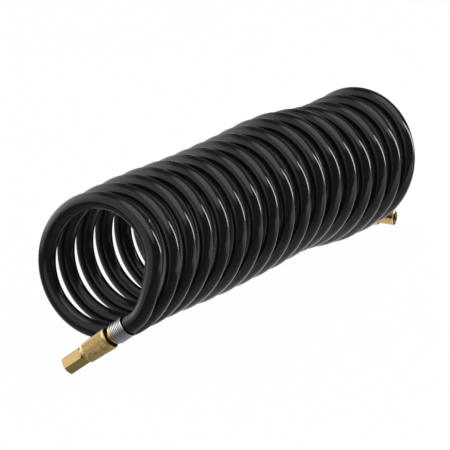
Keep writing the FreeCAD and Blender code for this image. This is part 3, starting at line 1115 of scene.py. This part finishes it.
    def inner_springs(self) -> None:
        """The springs that return the sleeve and close the valve."""
        low, high = self.ring_end, self.land_start
        back = Bench.spring("sleeve_return_spring", *self.return_spring, low, high,
                            self.spring_turns, sides=8)
        self.put(back, "coupler", ["sleeve_spring"], "stainless", SteelWire(), squeeze=("sleeve", low, high))
        valve = Bench.spring("valve_return_spring", *self.valve_spring, self.valve_back, self.socket_end,
                             self.spring_turns, sides=8)
        self.put(valve, "coupler", ["valve_spring"], "stainless", SteelWire())

    def build(self) -> None:
        """Makes and dresses all the pieces."""
        self.guard("near_guard_spring", "near_spring_guard", End.NEAR)
        self.sleeve()
        self.adapter()
        self.inner_springs()
        for node in ("near_plug", "coupler_body", "valve_poppet"):
            self.dress(node, Brass())
        for node in ("locking_balls", "sleeve_stop_ring"):
            self.dress(node, PolishedSteel())
        for node in ("probe_seal", "body_gasket", "valve_seal"):
            self.dress(node, SealRubber())


@dataclass
class FarFitting(Fitting):
    """Swivel stud on its stem, with the spring guard."""

    hex_start: float = 15.29 * MM
    hex_end: float = 21.29 * MM
    hex_flats: float = 15.5 * MM
    chamfer: float = 0.8 * MM
    neck_radius: float = 5.9 * MM
    male: Thread = Thread(root=5.75 * MM, crest=6.578 * MM, pitch=1.337 * MM, flanks=(0.12, 0.44, 0.56, 0.88),
                          start=22.69 * MM, turns=10, steps=48)
    thread_end: float = 35.79 * MM
    bore_radius: float = 4.3 * MM
    cone_radius: float = 5.2 * MM
    cone_depth: float = 1.6 * MM
    journal_radius: float = 4.65 * MM
    journal_end: float = 21.09 * MM

    def thread(self) -> bpy.types.Object:
        """The male thread, which starts and ends in a taper.

        Returns:
            The thread as a closed piece.
        """
        root, crest, start, end = self.male.root, self.male.crest, self.male.start, self.thread_end
        piece = Bench.screwed("thread", self.male)
        Bench.combine(piece, Bench.solid("lead_in", [
            (root - 0.1 * MM, start - HAIR), (crest + 0.05 * MM, start + 0.9 * MM),
            (crest + 0.05 * MM, end - 0.4 * MM), (crest - 0.3 * MM, end)], sides=96), Join.TRIM)
        return piece

    def stud(self) -> None:
        """Hexagon, neck and male thread, with the water way through them."""
        ends = (self.hex_flats / 2, self.chamfer)
        piece = Bench.nut("swivel_stud", self.hex_flats, (self.hex_start, self.hex_end), ends, ends)
        Bench.combine(piece, Bench.solid("neck", [
            (self.neck_radius, self.hex_end - 0.5 * MM),
            (self.neck_radius, self.male.start + 0.2 * MM)], sides=72), Join.ADD)
        Bench.combine(piece, self.thread(), Join.ADD)
        Bench.combine(piece, Bench.solid("way", [
            (self.journal_radius, self.hex_start - MM), (self.journal_radius, self.journal_end),
            (self.bore_radius, self.journal_end), (self.bore_radius, self.thread_end - self.cone_depth),
            (self.cone_radius, self.thread_end),
            (self.cone_radius, self.thread_end + 0.4 * MM)], sides=72), Join.CUT)
        Bench.soften(piece, 0.12 * MM)
        Bench.smooth(piece, angle=14)
        self.put(piece, "stud", ["far_swivel_stud"], "brass", Brass(colour=(0.66, 0.50, 0.25)), InnerShadeBrass())

    def build(self) -> None:
        """Makes and dresses all the pieces."""
        self.guard("far_guard_spring", "far_spring_guard", End.FAR)
        self.stud()
        self.dress("far_stem", Brass())
        self.dress("swivel_clip", PolishedSteel())
        self.dress("swivel_seal", SealRubber())


# The stage
@dataclass(frozen=True)
class Patch:
    """A soft-edged rectangle on the floor: where it fades in and out along X and along Y."""

    left: Range
    right: Range
    front: Range
    back: Range

    def share(self, x: Signal, y: Signal) -> Signal:
        """1 inside the patch and 0 outside it."""
        deep = y.above(*self.front) * (1 - y.above(*self.back))
        return deep * x.above(*self.left) * (1 - x.above(*self.right))


@dataclass(frozen=True)
class Wall:
    """A bright area of the surroundings: its direction, where its edge fades and its glow."""

    way: Point
    edge: Range
    glow: float

    def light(self, desk: NodeDesk, way: Signal) -> Signal:
        """The glow that a direction of the surroundings gets from it.

        Args:
            desk: The node desk.
            way: The direction.

        Returns:
            The glow.
        """
        squarely = desk.node("ShaderNodeVectorMath", {"operation": "DOT_PRODUCT"},
                             {0: way, 1: self.way}, "Value")
        return squarely.above(*self.edge) * self.glow


@dataclass
class Studio:
    """White floor and surroundings, one soft lamp and the camera."""

    camera_place: Point = (-2.30796, -1.46205, 1.00878)
    azimuth: float = -57.569
    elevation: float = 19.166
    lens: float = 280.3
    floor_size: float = 30.0
    floor_height: float = -0.0002
    floor_white: float = 0.985
    paper: Colour = (0.85, 0.85, 0.85)
    floor_blue: float = 1.03  # how much bluer the gloss sees the floor
    room_blue: float = 1.02  # the same for the surroundings
    # What the gloss sees of the floor: how bright it is, and where that fades in along X or Y
    floor_dim: float = 0.12
    middle_glow: float = 0.07
    middle_start: Range = (-0.5, -0.3)
    right_floor: float = 0.68
    right_start: Range = (-0.04, 0.08)
    right_fade: Range = (0.35, 0.60)
    right_loss: float = 0.4
    right_back: Range = (-0.30, -0.08)
    under_glow: float = 0.9
    under: Patch = Patch((-0.17, -0.12), (0.30, 0.36), (-0.09, -0.05), (0.03, 0.07))
    back_floor: float = 0.9
    back_start: Range = (0.55, 0.80)
    # Real lit paper, with the coil's shadow, beside the coil
    beside: Patch = Patch((-0.25, -0.17), (0.22, 0.32), (-0.16, -0.06), (0.12, 0.32))
    room: float = 0.12
    overhead: Wall = Wall(way=(0.089, -0.243, 0.966), edge=(0.81, 0.91), glow=1.45)
    left: Wall = Wall(way=(-0.8, 0.45, 0.45), edge=(0.55, 0.85), glow=0.6)
    back: Wall = Wall(way=(0.0, 1.0, 0.0), edge=(0.6, 0.95), glow=1.7)
    right: Wall = Wall(way=(0.77, -0.64, 0.0), edge=(0.84, 0.93), glow=0.5)
    right_top: Range = (0.06, 0.11)
    coil_middle: Point = (0.0, 0.0, 0.07)
    # The lamp's two ends, as azimuth from minus Y towards plus X and elevation, in degrees
    strip_ends: tuple[Range, Range] = ((42.0, 40.0), (68.0, -3.0))
    strip_distance: float = 0.95
    strip_width: float = 0.13
    strip_glow: float = 8.0

    @staticmethod
    def away(azimuth: float, elevation: float) -> Vector:
        """Direction at an azimuth from minus Y towards plus X and an elevation, in degrees."""
        a, e = math.radians(azimuth), math.radians(elevation)
        return Vector((math.sin(a) * math.cos(e), -math.cos(a) * math.cos(e), math.sin(e)))

    def camera(self) -> None:
        """The camera of the photograph."""
        a = math.radians(self.azimuth)
        back = self.away(self.azimuth, self.elevation)
        right = Vector((math.cos(a), math.sin(a), 0))
        data = bpy.data.cameras.new("camera")
        data.lens = self.lens
        data.sensor_width = 36.0
        data.clip_start, data.clip_end = 0.05, 50.0
        eye = Bench.linked("camera", data)
        eye.matrix_world = stand(Vector(self.camera_place), right, back.cross(right), back)
        bpy.context.scene.camera = eye

    def floor(self) -> None:
        """Wide white floor that shows as white, keeps a soft shadow and shines up into the gloss."""
        Bench.clear()
        bpy.ops.mesh.primitive_plane_add(size=self.floor_size, location=(0, 0, self.floor_height))
        floor = Bench.added("floor")
        material = bpy.data.materials.new("white_floor")
        material.use_nodes = True
        desk = NodeDesk(material.node_tree)
        seen = desk.node("ShaderNodeLightPath", {}, {}, "Is Camera Ray")
        mirrored = desk.node("ShaderNodeLightPath", {}, {}, "Is Glossy Ray")
        where = desk.node("ShaderNodeTexCoord", {}, {}, "Object")
        x, y = desk.part(where, "X"), desk.part(where, "Y")
        right = x.above(*self.right_start) * (1 - x.above(*self.right_fade) * self.right_loss) \
            * (1 - y.above(*self.right_back))
        under = self.under.share(x, y)
        lit = self.floor_dim + x.above(*self.middle_start) * self.middle_glow + right * self.right_floor \
            + under * self.under_glow + y.above(*self.back_start) * self.back_floor
        gloss = desk.node("ShaderNodeCombineColor", {}, {0: lit, 1: lit, 2: lit * self.floor_blue})
        shade = desk.mix(mirrored, (1.0, 1.0, 1.0), gloss)
        paper = desk.node("ShaderNodeBsdfDiffuse", {}, {"Color": (*self.paper, 1.0)})
        glow = desk.node("ShaderNodeEmission", {}, {"Color": shade, "Strength": 1.0})
        real = self.beside.share(x, y) * (1 - under)
        shown = desk.node("ShaderNodeMixShader", {}, {
            0: seen * self.floor_white + mirrored * (1 - real), 1: paper, 2: glow})
        desk.node("ShaderNodeOutputMaterial", {}, {"Surface": shown})
        floor.data.materials.append(material)

    def world(self) -> None:
        """White to the eye; for the light, white paper behind the coil and a dim room in front."""
        world = bpy.data.worlds.new("surroundings")
        bpy.context.scene.world = world
        world.use_nodes = True
        desk = NodeDesk(world.node_tree)
        seen = desk.node("ShaderNodeLightPath", {}, {}, "Is Camera Ray")
        way = desk.node("ShaderNodeTexCoord", {}, {}, "Generated")
        below_top = 1 - desk.part(way, "Z").above(*self.right_top)
        level = self.overhead.light(desk, way) + self.left.light(desk, way) + self.back.light(desk, way) \
            + self.right.light(desk, way) * below_top + self.room
        paper = desk.node("ShaderNodeCombineColor", {}, {0: level, 1: level, 2: level * self.room_blue})
        colour = desk.mix(seen, paper, (1.0, 1.0, 1.0))
        glow = desk.node("ShaderNodeBackground", {}, {"Color": colour, "Strength": 1.0})
        desk.node("ShaderNodeOutputWorld", {}, {"Surface": glow})

    def strip(self) -> None:
        """A narrow bright lamp that stands at the right and faces the coil."""
        middle = Vector(self.coil_middle)
        first, last = (middle + self.away(*end) * self.strip_distance for end in self.strip_ends)
        long_way = last - first
        data = bpy.data.lights.new("bright_strip", "AREA")
        data.shape = "RECTANGLE"
        data.size, data.size_y = long_way.length, self.strip_width
        data.energy = self.strip_glow * math.pi * data.size * data.size_y
        axis_x = long_way.normalized()
        facing = (first + last) / 2 - middle
        axis_z = (facing - axis_x * facing.dot(axis_x)).normalized()
        lamp = Bench.linked("bright_strip", data)
        lamp.matrix_world = stand((first + last) / 2, axis_x, axis_z.cross(axis_x), axis_z)
        lamp.visible_camera = False

    def build(self) -> None:
        """Sets the stage."""
        self.floor()
        self.world()
        self.strip()


def main() -> None:
    """Builds the scene in order."""
    bpy.context.scene.view_settings.view_transform = "Standard"
    studio = Studio()
    studio.camera()
    hose = Hose()
    tube, centre_line = hose.build()
    near = NearFitting(hose.near_start, hose.near_aim)
    near.build()
    far = FarFitting(hose.far_start, hose.far_aim)
    far.build()
    length = sum((b - a).length for a, b in zip(centre_line, centre_line[1:]))
    studio.build()


if __name__ == "__main__":
    main()
